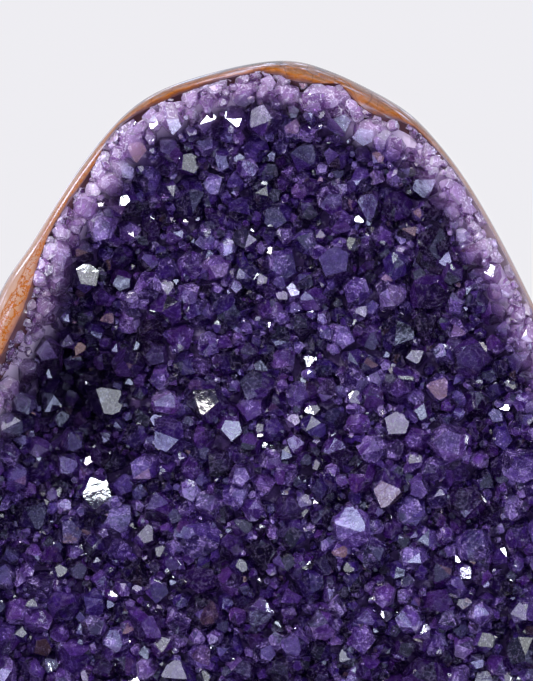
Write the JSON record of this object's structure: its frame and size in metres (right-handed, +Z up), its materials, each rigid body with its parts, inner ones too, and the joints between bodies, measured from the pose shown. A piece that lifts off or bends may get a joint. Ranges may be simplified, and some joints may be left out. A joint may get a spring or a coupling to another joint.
{
  "type": "amethyst geode",
  "caption": "Free-standing cut-base amethyst geode: an arched agate shell with a polished rim and sawn flat base, its hollow front lined with a crust of violet quartz points.",
  "frame": {"origin": "centre of the bounding box's underside, in the plane of the sawn base", "axes": "+Z up, -Y out of the crystal-lined front, +X to the right as seen from the front"},
  "size_m": [0.1886, 0.0874, 0.2],
  "materials": {
    "agate": "banded agate, polished on the rim, rough rind behind, sawn matt base",
    "amethyst": "clear to milky violet quartz, natural glossy crystal faces"
  },
  "bodies": {
    "root": {"agate_shell": "agate", "amethyst_crust": "amethyst"}
  },
  "joints": []
}
